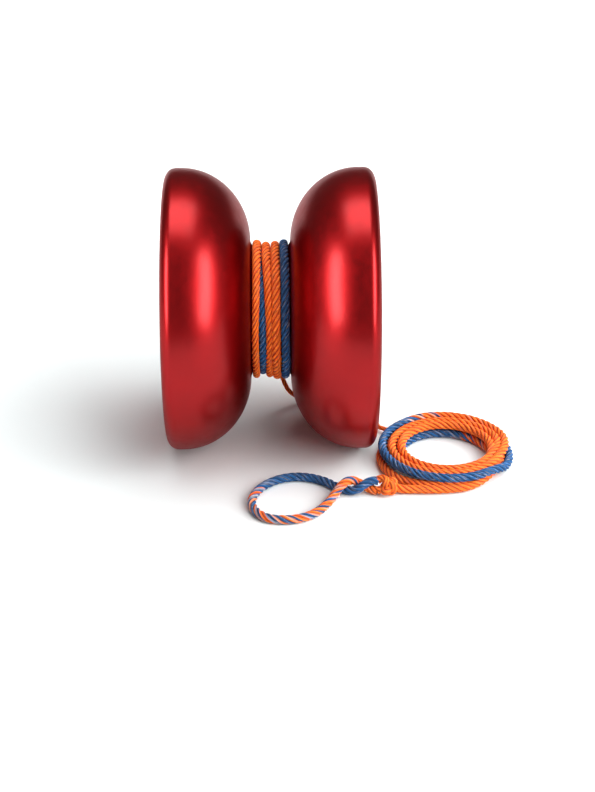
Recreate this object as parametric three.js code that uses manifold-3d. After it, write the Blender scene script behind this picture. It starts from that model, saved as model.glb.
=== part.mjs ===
// A ball-bearing yo-yo with its string, standing on both rims.
// Millimetres, +Z up. The origin is on the surface that the yo-yo stands on, under the middle of its axle.
// +X runs along the axle, +Y away from the coiled end of the string.
import * as THREE from 'three';
import { mergeVertices } from 'three/addons/utils/BufferGeometryUtils.js';
import Module from 'manifold-3d';

// --- Driving dimensions: the two halves ---
const BODY_DIAMETER = 56;
const BODY_WIDTH = 41.4;
const STRING_GAP = 4.4;            // between the two response faces
const GAP_LAND = 0.3;              // flat beyond the response pads, before the faces lean apart
const THROAT_RADIUS = 13.4;        // where the leaning faces meet the curved flank
const THROAT_HALF_WIDTH = 3.95;
const CREST_WIDTH = 1;             // how far the rim's full diameter runs along the axle
const CORNER_WIDTH = 2.2;          // rounded outer corner, along the axle
const CORNER_HEIGHT = 2.4;         // and across it
const RIM_FACE_WIDTH = 1.3;        // flat ring on each outer side
const LIP_CHAMFER = 0.4;
const CUP_WALL_TAPER = 0.5;
const CUP_WALL_DEPTH = 8.7;        // straight part of the cup's wall, from the rim face
const WEB_THICKNESS = 3;           // between the pad's recess and the cup's floor
const CUP_FLOOR_RADIUS = 14.5;
const HUB_CAP = 2.3;               // closes the tapped hole, up to the hub's flat face
const HUB_TOP_RADIUS = 4.4;
const HUB_FOOT_RADIUS = 6;
const HUB_CHAMFER = 0.5;

// --- Driving dimensions: axle, response pads and bearing ---
const AXLE_RADIUS = 1.95;
const AXLE_LENGTH = 20;
const AXLE_CHAMFER = 0.3;
const SOCKET_ACROSS_FLATS = 2;
const SOCKET_DEPTH = 2.5;
const HOLE_END_ROOM = 0.5;         // the tapped hole runs this much deeper than the axle
const POST_SPLIT = 0.4;            // between the ends of the two bearing posts
const POST_SHOULDER_INSET = 0.1;   // the posts' shoulders are this much smaller than the inner race
const RACE_ROOM = 0.6;             // beside the outer race, in each half
const RACE_ROOM_RADIAL = 0.35;
const PAD_LAND = 0.7;              // wall between the race's room and the pad's recess
const PAD_WIDTH = 2.2;
const PAD_THICKNESS = 1;
const BEARING_BORE_RADIUS = 3.175;
const BEARING_OUTER_RADIUS = 6.35;
const BEARING_WIDTH = 4.7625;
const RACE_GAP = 0.76;             // from the balls' pitch circle to either race beside its groove
const BALL_DIAMETER = 1.984;
const BALL_COUNT = 8;
const CAGE_THICKNESS = 0.8;
const CAGE_WEB = 0.19;             // beside each pocket
const SHIELD_INSET = 0.83;         // from the bearing's side to the step that a shield lies on
const SHIELD_STEP = 0.24;          // that step's height
const SHIELD_THICKNESS = 0.15;
const SNAP_GROOVE_DEPTH = 0.2;
const SNAP_GROOVE_WIDTH = 0.32;
const SNAP_RING_WIDTH = 0.55;
const SNAP_RING_THICKNESS = 0.25;
const SNAP_RING_OPENING = 0.6;     // radians left open

// --- Driving dimensions: the string ---
const STRING_DIAMETER = 1.8;
const WINDING_RADIUS = 13.8;
const WINDING_ROUNDING = 0.6;
const COIL_INNER_RADIUS = 8.2;
const COIL_STRANDS_ACROSS = 3;
const COIL_LAYERS = 2;
const COIL_CENTRE = [35, -12.3];
const COIL_OVALITY = 0.93;         // the coil lies a little flatter across than along the axle
const COIL_ROUNDING = 0.7;
const KNOT_CENTRE = [22.75, -25.3];
const KNOT_SIZE = [4.2, 4.4, 3.9];

// --- Clearances ---
const SEAT_CLEARANCE = 0.02;       // bearing bore on its posts, and post shoulders beside the inner race
const THREAD_CLEARANCE = 0.06;
const PAD_CLEARANCE = 0.05;
const GROOVE_CLEARANCE = 0.038;    // ball in a race's groove
const POCKET_CLEARANCE = 0.12;     // ball in its cage pocket
const SHIELD_CLEARANCE = 0.05;
const SHIELD_BORE_CLEARANCE = 0.2;
const STRING_SEAT_CLEARANCE = 0.1;
const SOFT_CLEARANCE = 0.3;        // between the string and its neighbours

// --- Smoothness ---
const BODY_SEGMENTS = 40;
const RING_SEGMENTS = 36;
const AXLE_SEGMENTS = 16;
const COIL_SEGMENTS = 40;
const STRING_SIDES = 8;

// --- Worked out from the driving dimensions ---
const BODY_RADIUS = BODY_DIAMETER / 2;
const PITCH_RADIUS = (BEARING_BORE_RADIUS + BEARING_OUTER_RADIUS) / 2;
const HALF_BEARING = BEARING_WIDTH / 2;
const GAP_FACE = STRING_GAP / 2;
const RECESS_RADIUS = BEARING_OUTER_RADIUS + RACE_ROOM_RADIAL;
const PAD_INNER_RADIUS = RECESS_RADIUS + PAD_LAND;
const PAD_OUTER_RADIUS = PAD_INNER_RADIUS + PAD_WIDTH;
const GAP_MOUTH_RADIUS = PAD_OUTER_RADIUS + GAP_LAND;
const RIM_FACE = BODY_WIDTH / 2;
const CREST_END = RIM_FACE - CORNER_WIDTH;
const CREST_START = CREST_END - CREST_WIDTH;
const HOLE_DEPTH = AXLE_LENGTH / 2 + HOLE_END_ROOM;
const PAD_FLOOR = GAP_FACE + PAD_THICKNESS;
const CUP_FLOOR = PAD_FLOOR + WEB_THICKNESS;
const CUP_CURVE_START = RIM_FACE - CUP_WALL_DEPTH;
const HUB_FACE = HOLE_DEPTH + HUB_CAP;
const BALL_RADIUS = BALL_DIAMETER / 2;
const GROOVE_RADIUS = BALL_RADIUS + GROOVE_CLEARANCE;
const INNER_RACE_RADIUS = PITCH_RADIUS - RACE_GAP;
const OUTER_RACE_BORE_RADIUS = PITCH_RADIUS + RACE_GAP;
const POCKET_RADIUS = BALL_RADIUS + POCKET_CLEARANCE;
const SHIELD_SEAT = HALF_BEARING - SHIELD_INSET;
const SHIELD_SEAT_RADIUS = OUTER_RACE_BORE_RADIUS + SHIELD_STEP;
const SNAP_GROOVE_START = SHIELD_SEAT + SHIELD_CLEARANCE * 2 + SHIELD_THICKNESS;
const SNAP_GROOVE_RADIUS = SHIELD_SEAT_RADIUS + SNAP_GROOVE_DEPTH;
const STRING_RADIUS = STRING_DIAMETER / 2;
const AXLE_LOOP_INNER = BEARING_OUTER_RADIUS + STRING_SEAT_CLEARANCE;
const AXLE_LOOP_OUTER = AXLE_LOOP_INNER + STRING_DIAMETER;
const COIL_OUTER_RADIUS = COIL_INNER_RADIUS + COIL_STRANDS_ACROSS * STRING_DIAMETER;
const COIL_HEIGHT = COIL_LAYERS * STRING_DIAMETER;

// The string's free run from the back of the winding: down to the surface, behind the right half
// and round its outer side to the coil. The points are its centre line.
const TAIL_POINTS = [
  [1.6, 12.9, 20.3], [1.6, 12.75, 16.5], [1.6, 12.35, 12.5], [1.8, 11.8, 8.9], [2.5, 11.2, 5.4],
  [3.9, 10.8, 2.7], [6.0, 10.8, 1.3], [8.7, 11.2, 0.95], [11.8, 11.8, 0.92], [15.0, 12.0, 0.92],
  [18.1, 11.4, 0.92], [20.3, 9.6, 0.92], [21.3, 7.0, 0.92], [21.5, 4.2, 0.92], [21.55, 1.4, 0.92],
  [22.2, -1.1, 0.92], [24.1, -2.3, 0.92],
];

// The last straight run, from the front of the coil to the knot.
const COIL_END_POINTS = [[28.3, -24.5, 0.92], [26.7, -24.75, 0.92], [25.2, -25.0, 1.0]];

// The finger loop, from the knot round to the knot again. Its two sides twist once about each other.
const FINGER_LOOP_POINTS = [
  [20.5, -24.4, 2.75], [19.2, -24.75, 3.0], [17.9, -25.55, 2.5], [16.7, -26.0, 1.8],
  [15.4, -25.7, 1.1], [14.0, -25.0, 0.92], [12.4, -23.75, 0.92], [10.4, -21.95, 0.92],
  [7.7, -20.6, 0.92], [4.8, -20.15, 0.92], [1.6, -20.9, 0.92], [-1.2, -22.9, 0.92],
  [-3.2, -25.8, 0.92], [-4.0, -29.2, 0.92], [-3.2, -32.3, 0.92], [-1.2, -34.5, 0.92],
  [1.6, -35.3, 0.92], [4.8, -35.0, 0.92], [7.7, -33.5, 0.92], [10.0, -30.9, 0.92],
  [11.7, -28.2, 1.3], [13.0, -26.3, 2.2], [14.2, -25.0, 3.0], [15.5, -24.1, 2.9],
  [16.8, -23.85, 2.1], [18.2, -24.2, 1.25], [19.4, -24.9, 0.92], [20.5, -25.6, 0.95],
];

const anodisedRed = new THREE.MeshStandardMaterial({ color: 0xa01018, roughness: 0.35, metalness: 0.9 });
const bearingSteel = new THREE.MeshStandardMaterial({ color: 0xb9bcc0, roughness: 0.25, metalness: 1 });
const blackSteel = new THREE.MeshStandardMaterial({ color: 0x2b2b2e, roughness: 0.4, metalness: 0.9 });
const cageSteel = new THREE.MeshStandardMaterial({ color: 0xa8a08c, roughness: 0.35, metalness: 0.9 });
const padSilicone = new THREE.MeshStandardMaterial({ color: 0xe6e2da, roughness: 0.75, metalness: 0 });
const stringOrange = new THREE.MeshStandardMaterial({ color: 0xe9662a, roughness: 0.85, metalness: 0 });
const stringBlue = new THREE.MeshStandardMaterial({ color: 0x2b4e7a, roughness: 0.85, metalness: 0 });

const wasm = await Module();
wasm.setup();

// A solid of revolution round Y from [radius, height] points, with its flats on the stated radii.
function turned(points, segments) {
  const cornerScale = 1 / Math.cos(Math.PI / segments);
  const profile = points.map(([radius, height]) => new THREE.Vector2(radius * cornerScale, height));
  return new THREE.LatheGeometry(profile, segments, Math.PI / segments);
}

// A closed ring: its profile returns to the first point.
function turnedRing(points, segments) {
  return turned([...points, points[0]], segments);
}

// Points on an ellipse, from one angle to the other, as [radius, height] pairs. Angles run from the
// direction of +height towards +radius.
function ellipseArc(centre, radii, fromAngle, toAngle, steps) {
  const points = [];
  for (let i = 0; i <= steps; i += 1) {
    const angle = fromAngle + ((toAngle - fromAngle) * i) / steps;
    points.push([centre[0] + radii[0] * Math.sin(angle), centre[1] + radii[1] * Math.cos(angle)]);
  }
  return points;
}

function toManifold(geometry) {
  const bare = geometry.clone();
  bare.deleteAttribute('normal');
  bare.deleteAttribute('uv');
  const merged = mergeVertices(bare, 1e-4);
  const corners = merged.index.array;
  const triangles = [];
  for (let i = 0; i < corners.length; i += 3) {
    const [a, b, c] = corners.subarray(i, i + 3);
    if (a !== b && b !== c && c !== a) {
      triangles.push(a, b, c);
    }
  }
  const mesh = new wasm.Mesh({
    numProp: 3,
    vertProperties: Float32Array.from(merged.attributes.position.array),
    triVerts: Uint32Array.from(triangles),
  });
  return new wasm.Manifold(mesh);
}

function toGeometry(manifold) {
  const mesh = manifold.getMesh();
  const geometry = new THREE.BufferGeometry();
  geometry.setAttribute('position', new THREE.BufferAttribute(Float32Array.from(mesh.vertProperties), 3));
  geometry.setIndex(Array.from(mesh.triVerts));
  geometry.computeVertexNormals();
  return geometry;
}

function cut(geometry, cutters) {
  let solid = toManifold(geometry);
  cutters.forEach((cutter) => {
    solid = solid.subtract(toManifold(cutter));
  });
  return toGeometry(solid);
}

function named(name, geometry, material) {
  const mesh = new THREE.Mesh(geometry, material.clone());
  mesh.name = name;
  return mesh;
}

// The same piece twice on the axle, the left one turned end for end.
function pairOnAxle(baseName, geometry, material) {
  const right = named(`right_${baseName}`, geometry, material);
  const left = named(`left_${baseName}`, geometry.clone(), material);
  left.rotation.x = Math.PI;
  return [left, right];
}

// One half of the body: threaded hole, bearing post, pad recess, flank, rim, cup and hub.
function halfGeometry() {
  const holeRadius = AXLE_RADIUS + THREAD_CLEARANCE;
  const postRadius = BEARING_BORE_RADIUS - SEAT_CLEARANCE;
  const shoulder = HALF_BEARING + SEAT_CLEARANCE;
  const recessFloor = HALF_BEARING + RACE_ROOM;
  const shoulderRadius = INNER_RACE_RADIUS - POST_SHOULDER_INSET;
  const inside = [
    [0, HOLE_DEPTH], [holeRadius, HOLE_DEPTH], [holeRadius, POST_SPLIT / 2], [postRadius, POST_SPLIT / 2],
    [postRadius, shoulder], [shoulderRadius, shoulder], [shoulderRadius, recessFloor],
    [RECESS_RADIUS, recessFloor], [RECESS_RADIUS, GAP_FACE], [PAD_INNER_RADIUS, GAP_FACE],
    [PAD_INNER_RADIUS, PAD_FLOOR], [PAD_OUTER_RADIUS, PAD_FLOOR], [PAD_OUTER_RADIUS, GAP_FACE],
    [GAP_MOUTH_RADIUS, GAP_FACE],
  ];
  const flank = ellipseArc(
    [THROAT_RADIUS, CREST_START],
    [BODY_RADIUS - THROAT_RADIUS, THROAT_HALF_WIDTH - CREST_START],
    0, Math.PI / 2, 10,
  );
  const corner = ellipseArc(
    [BODY_RADIUS - CORNER_HEIGHT, CREST_END],
    [CORNER_HEIGHT, RIM_FACE - CREST_END],
    Math.PI / 2, 0, 4,
  );
  const lipRadius = BODY_RADIUS - CORNER_HEIGHT - RIM_FACE_WIDTH;
  const cupRadius = lipRadius - LIP_CHAMFER;
  const cup = ellipseArc(
    [CUP_FLOOR_RADIUS, CUP_CURVE_START],
    [cupRadius - CUP_WALL_TAPER - CUP_FLOOR_RADIUS, CUP_FLOOR - CUP_CURVE_START],
    Math.PI / 2, 0, 5,
  );
  const outside = [
    [lipRadius, RIM_FACE], [cupRadius, RIM_FACE - LIP_CHAMFER], ...cup, [HUB_FOOT_RADIUS, CUP_FLOOR],
    [HUB_TOP_RADIUS, HUB_FACE - HUB_CHAMFER], [HUB_TOP_RADIUS - HUB_CHAMFER, HUB_FACE], [0, HUB_FACE],
  ];
  return turned([...inside, ...flank, ...corner, ...outside], BODY_SEGMENTS);
}

// The threaded stud that joins the halves, with a hexagon socket in each end.
function axleGeometry() {
  const end = AXLE_LENGTH / 2;
  const stud = turned([
    [0, -end], [AXLE_RADIUS - AXLE_CHAMFER, -end], [AXLE_RADIUS, AXLE_CHAMFER - end],
    [AXLE_RADIUS, end - AXLE_CHAMFER], [AXLE_RADIUS - AXLE_CHAMFER, end], [0, end],
  ], AXLE_SEGMENTS);
  const cornerRadius = SOCKET_ACROSS_FLATS / 2 / Math.cos(Math.PI / 6);
  const sockets = [-end, end].map((height) => (
    new THREE.CylinderGeometry(cornerRadius, cornerRadius, SOCKET_DEPTH * 2, 6).translate(0, height, 0)
  ));
  return cut(stud, sockets);
}

function padGeometry() {
  const inner = PAD_INNER_RADIUS + PAD_CLEARANCE;
  const outer = PAD_OUTER_RADIUS - PAD_CLEARANCE;
  const back = PAD_FLOOR - PAD_CLEARANCE;
  return turnedRing([[inner, back], [inner, GAP_FACE], [outer, GAP_FACE], [outer, back]], BODY_SEGMENTS);
}

// The groove that the balls run in, from its upper edge to its lower one, in a race of the given radius.
function grooveArc(raceRadius) {
  const rise = raceRadius - PITCH_RADIUS;
  const reach = Math.asin(Math.abs(rise) / GROOVE_RADIUS);
  const side = Math.sign(rise);
  const points = [];
  const steps = 4;
  for (let i = 0; i <= steps; i += 1) {
    const angle = reach + ((Math.PI - 2 * reach) * i) / steps;
    points.push([PITCH_RADIUS + side * GROOVE_RADIUS * Math.sin(angle), GROOVE_RADIUS * Math.cos(angle)]);
  }
  return points;
}

function innerRaceGeometry() {
  return turnedRing([
    [BEARING_BORE_RADIUS, HALF_BEARING], [BEARING_BORE_RADIUS, -HALF_BEARING],
    [INNER_RACE_RADIUS, -HALF_BEARING], ...grooveArc(INNER_RACE_RADIUS).reverse(),
    [INNER_RACE_RADIUS, HALF_BEARING],
  ], RING_SEGMENTS);
}

// The outer race, with a step for a shield and a groove for its snap ring at each side.
function outerRaceGeometry() {
  const snapEnd = SNAP_GROOVE_START + SNAP_GROOVE_WIDTH;
  const side = [
    [SHIELD_SEAT_RADIUS, HALF_BEARING], [SHIELD_SEAT_RADIUS, snapEnd], [SNAP_GROOVE_RADIUS, snapEnd],
    [SNAP_GROOVE_RADIUS, SNAP_GROOVE_START], [SHIELD_SEAT_RADIUS, SNAP_GROOVE_START],
    [SHIELD_SEAT_RADIUS, SHIELD_SEAT], [OUTER_RACE_BORE_RADIUS, SHIELD_SEAT],
  ];
  const otherSide = side.map(([radius, height]) => [radius, -height]).reverse();
  return turnedRing([
    [BEARING_OUTER_RADIUS, -HALF_BEARING], [BEARING_OUTER_RADIUS, HALF_BEARING],
    ...side, ...grooveArc(OUTER_RACE_BORE_RADIUS), ...otherSide,
  ], RING_SEGMENTS);
}

function ballGeometry() {
  return new THREE.IcosahedronGeometry(BALL_RADIUS, 1);
}

// Where each ball sits on the pitch circle.
function ballPlaces() {
  const places = [];
  for (let i = 0; i < BALL_COUNT; i += 1) {
    const angle = ((i + 0.5) * 2 * Math.PI) / BALL_COUNT;
    places.push([PITCH_RADIUS * Math.sin(angle), 0, PITCH_RADIUS * Math.cos(angle)]);
  }
  return places;
}

// The ring that keeps the balls apart, with a round pocket for each.
function cageGeometry() {
  const inner = PITCH_RADIUS - CAGE_THICKNESS / 2;
  const outer = PITCH_RADIUS + CAGE_THICKNESS / 2;
  const half = POCKET_RADIUS + CAGE_WEB;
  const ring = turnedRing([[inner, half], [inner, -half], [outer, -half], [outer, half]], RING_SEGMENTS);
  const pockets = ballPlaces().map((place) => (
    new THREE.SphereGeometry(POCKET_RADIUS, 10, 6).translate(...place)
  ));
  return cut(ring, pockets);
}

function shieldGeometry() {
  const inner = INNER_RACE_RADIUS + SHIELD_BORE_CLEARANCE;
  const outer = SHIELD_SEAT_RADIUS - SHIELD_CLEARANCE;
  const near = SHIELD_SEAT + SHIELD_CLEARANCE;
  const far = near + SHIELD_THICKNESS;
  return turnedRing([[inner, far], [inner, near], [outer, near], [outer, far]], RING_SEGMENTS);
}

// The open ring that holds a shield in, lying in its groove.
function snapRingGeometry() {
  const outer = SNAP_GROOVE_RADIUS - SHIELD_CLEARANCE;
  const inner = outer - SNAP_RING_WIDTH;
  const from = SNAP_RING_OPENING / 2;
  const to = 2 * Math.PI - SNAP_RING_OPENING / 2;
  const outline = new THREE.Shape();
  outline.absarc(0, 0, outer, from, to, false);
  outline.absarc(0, 0, inner, to, from, true);
  outline.closePath();
  const spare = (SNAP_GROOVE_WIDTH - SNAP_RING_THICKNESS) / 2;
  return new THREE.ExtrudeGeometry(outline, {
    depth: SNAP_RING_THICKNESS,
    bevelEnabled: false,
    curveSegments: 20,
  }).rotateX(-Math.PI / 2).translate(0, SNAP_GROOVE_START + spare, 0);
}

// The loop of string that grips the bearing.
function axleLoopGeometry() {
  const half = Math.min(GAP_FACE - SOFT_CLEARANCE, STRING_DIAMETER);
  return turnedRing([
    [AXLE_LOOP_INNER, half], [AXLE_LOOP_INNER, -half], [AXLE_LOOP_OUTER, -half], [AXLE_LOOP_OUTER, half],
  ], RING_SEGMENTS);
}

// The string wound on the axle: it fills the gap between the halves up to its outer radius.
function windingGeometry() {
  const inner = AXLE_LOOP_OUTER + STRING_SEAT_CLEARANCE;
  const foot = GAP_FACE - SOFT_CLEARANCE;
  const shoulder = Math.min(WINDING_RADIUS - WINDING_ROUNDING, THROAT_RADIUS);
  const lean = (THROAT_HALF_WIDTH - GAP_FACE) / (THROAT_RADIUS - GAP_MOUTH_RADIUS);
  const mouth = GAP_FACE + lean * (shoulder - GAP_MOUTH_RADIUS) - SOFT_CLEARANCE;
  const profile = [
    [inner, foot], [inner, -foot], [GAP_MOUTH_RADIUS, -foot], [shoulder, -mouth],
    [WINDING_RADIUS, WINDING_ROUNDING - mouth], [WINDING_RADIUS, mouth - WINDING_ROUNDING],
    [shoulder, mouth], [GAP_MOUTH_RADIUS, foot],
  ];
  return turnedRing(profile, BODY_SEGMENTS);
}

// A length of string swept along its centre line.
function stringGeometry(points, steps) {
  const route = new THREE.CatmullRomCurve3(points.map((point) => new THREE.Vector3(...point)));
  const section = new THREE.Shape();
  for (let i = 0; i < STRING_SIDES; i += 1) {
    const angle = (2 * Math.PI * i) / STRING_SIDES;
    const corner = [STRING_RADIUS * Math.cos(angle), STRING_RADIUS * Math.sin(angle)];
    if (i === 0) {
      section.moveTo(...corner);
    } else {
      section.lineTo(...corner);
    }
  }
  section.closePath();
  return new THREE.ExtrudeGeometry(section, { steps, bevelEnabled: false, extrudePath: route });
}

// The coil that the free string lies in, as the ring that its turns fill.
function coilGeometry() {
  const shape = turnedRing([
    [COIL_INNER_RADIUS, COIL_HEIGHT - COIL_ROUNDING], [COIL_INNER_RADIUS, 0], [COIL_OUTER_RADIUS, 0],
    [COIL_OUTER_RADIUS, COIL_HEIGHT - COIL_ROUNDING], [COIL_OUTER_RADIUS - COIL_ROUNDING, COIL_HEIGHT],
    [COIL_INNER_RADIUS + COIL_ROUNDING, COIL_HEIGHT],
  ], COIL_SEGMENTS);
  return shape.rotateX(Math.PI / 2).scale(1, COIL_OVALITY, 1);
}

function knotGeometry() {
  return new THREE.SphereGeometry(0.5, 14, 10).scale(...KNOT_SIZE);
}

// Everything that turns on the axle's line. The group's own +Y runs along the axle, to the world's +X.
function axleLine() {
  const line = new THREE.Group();
  line.position.z = BODY_RADIUS;
  line.rotation.z = -Math.PI / 2;
  line.add(...pairOnAxle('half', halfGeometry(), anodisedRed));
  line.add(...pairOnAxle('response_pad', padGeometry(), padSilicone));
  line.add(named('axle', axleGeometry(), blackSteel));
  line.add(named('bearing_outer_race', outerRaceGeometry(), bearingSteel));
  line.add(named('bearing_inner_race', innerRaceGeometry(), bearingSteel));
  line.add(named('ball_cage', cageGeometry(), cageSteel));
  ballPlaces().forEach((place, index) => {
    const ball = named(`ball_${index + 1}`, ballGeometry(), bearingSteel);
    ball.position.set(...place);
    line.add(ball);
  });
  line.add(...pairOnAxle('shield', shieldGeometry(), bearingSteel));
  line.add(...pairOnAxle('snap_ring', snapRingGeometry(), bearingSteel));
  line.add(named('string_axle_loop', axleLoopGeometry(), stringOrange));
  line.add(named('string_winding', windingGeometry(), stringOrange));
  return line;
}

// The free string, lying on the surface.
function freeString() {
  const string = new THREE.Group();
  string.add(named('string_tail', stringGeometry(TAIL_POINTS, 20), stringOrange));
  const coil = named('string_coil', coilGeometry(), stringBlue);
  coil.position.set(...COIL_CENTRE, 0);
  string.add(coil);
  string.add(named('string_coil_end', stringGeometry(COIL_END_POINTS, 2), stringOrange));
  const knot = named('slip_knot', knotGeometry(), stringOrange);
  knot.position.set(...KNOT_CENTRE, KNOT_SIZE[2] / 2);
  string.add(knot);
  string.add(named('finger_loop', stringGeometry(FINGER_LOOP_POINTS, 42), stringBlue));
  return string;
}

const yoyo = new THREE.Group();
yoyo.add(axleLine(), freeString());

export default yoyo;
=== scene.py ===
"""A ball-bearing yo-yo in red anodised aluminium, with its orange and blue string.

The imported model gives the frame: where every piece is, and which body it moves with. This script
models the fine pieces round that frame, dresses them, and sets the floor, the lights and the camera.
Sizes are in metres. +X runs along the axle, +Z is up, and the floor is at Z = 0.
"""

import logging
import math
from dataclasses import dataclass
from enum import Enum

import bpy
import numpy as np
from mathutils import Matrix, Quaternion, Vector


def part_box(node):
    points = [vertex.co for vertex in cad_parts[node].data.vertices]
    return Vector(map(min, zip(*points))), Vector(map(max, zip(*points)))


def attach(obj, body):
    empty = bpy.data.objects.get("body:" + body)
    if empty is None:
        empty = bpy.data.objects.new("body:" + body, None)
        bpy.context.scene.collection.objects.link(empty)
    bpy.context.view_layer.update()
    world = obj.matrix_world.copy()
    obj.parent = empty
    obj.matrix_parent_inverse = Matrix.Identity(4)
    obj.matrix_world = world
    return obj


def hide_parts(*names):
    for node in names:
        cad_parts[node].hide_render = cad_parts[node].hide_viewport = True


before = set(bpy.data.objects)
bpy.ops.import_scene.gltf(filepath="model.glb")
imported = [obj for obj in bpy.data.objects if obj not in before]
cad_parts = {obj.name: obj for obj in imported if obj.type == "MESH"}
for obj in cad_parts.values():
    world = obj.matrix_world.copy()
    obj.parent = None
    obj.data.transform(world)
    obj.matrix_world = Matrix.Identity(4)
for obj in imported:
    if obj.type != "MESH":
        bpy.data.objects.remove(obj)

LOG = logging.getLogger("yo-yo")
MM = 0.001
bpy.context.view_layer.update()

Profile = list[tuple[float, float]]
Row = tuple[float, ...]
Socket = bpy.types.NodeSocket


class Body(Enum):
    """The moving bodies that the turned pieces and the string ride on."""

    STRING_SIDE = "string_side"
    SPOOL = "spool"


class Slot(Enum):
    """The record's material slots, each with a finish of its own."""

    ANODISED_RED = "anodised_red"
    AXLE_STEEL = "axle_steel"
    BEARING_STEEL = "bearing_steel"
    SHIELD_STEEL = "shield_steel"
    CAGE_STEEL = "cage_steel"
    PAD_SILICONE = "pad_silicone"
    STRING = "string"


class Side(Enum):
    """Which end of the axle a piece belongs to, as the sign of X."""

    LEFT = -1
    RIGHT = 1

    @property
    def word(self) -> str:
        """The side's name, as the pieces' names use it."""
        return self.name.lower()

    def mirror(self, outline: Profile) -> Profile:
        """A right-hand outline as it is on this side."""
        return [(self.value * x, r) for x, r in outline]


Materials = dict[Slot, bpy.types.Material]


# --- Small helpers -------------------------------------------------------------------------------


def set_mode(mode: str) -> None:
    """Switches the active piece to OBJECT or EDIT mode."""
    bpy.ops.object.mode_set(mode=mode)


def select_mesh(action: str) -> None:
    """Selects all of the mesh that is being edited with SELECT, or nothing of it with DESELECT."""
    bpy.ops.mesh.select_all(action=action)


def make_active(piece: bpy.types.Object | None) -> None:
    """Leaves edit mode, and selects one piece alone or nothing."""
    if bpy.context.object is not None and bpy.context.object.mode != "OBJECT":
        set_mode("OBJECT")
    bpy.ops.object.select_all(action="DESELECT")
    if piece is not None:
        piece.select_set(True)
        bpy.context.view_layer.objects.active = piece


def apply_place(piece: bpy.types.Object) -> None:
    """Puts a piece's place, turn and scale into its mesh."""
    make_active(piece)
    bpy.ops.object.transform_apply(location=True, rotation=True, scale=True)


def apply_modifiers(piece: bpy.types.Object) -> None:
    """Applies every modifier of a piece, in order."""
    make_active(piece)
    for name in [modifier.name for modifier in piece.modifiers]:
        bpy.ops.object.modifier_apply(modifier=name)


def settle(piece: bpy.types.Object, body: str, slot: Slot, *replaced: str) -> None:
    """Joins a finished piece to the frame.

    Args:
        piece: The finished piece, with its place in its mesh.
        body: The CAD body that it moves with.
        slot: The record's material slot. It is not used.
        *replaced: The CAD nodes that it stands for.
    """
    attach(piece, body)
    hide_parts(*replaced)
    LOG.info("%s rides on %s, %d faces", piece.name, body, len(piece.data.polygons))


def arc(centre: Row, radii: Row, start: float, end: float, steps: int) -> Profile:
    """Points on an ellipse in the plane of the axle.

    Args:
        centre: Its centre, as (along the axle, radius).
        radii: Its half axes, in the same order.
        start: The first angle in degrees, from the axle's direction towards the radius.
        end: The last angle in degrees.
        steps: How many steps lie between them.

    Returns:
        The points, both ends with them.
    """
    angles = np.radians(np.linspace(start, end, steps + 1))
    return [(centre[0] + radii[0] * math.cos(a), centre[1] + radii[1] * math.sin(a)) for a in angles]


# --- Materials -----------------------------------------------------------------------------------


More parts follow.
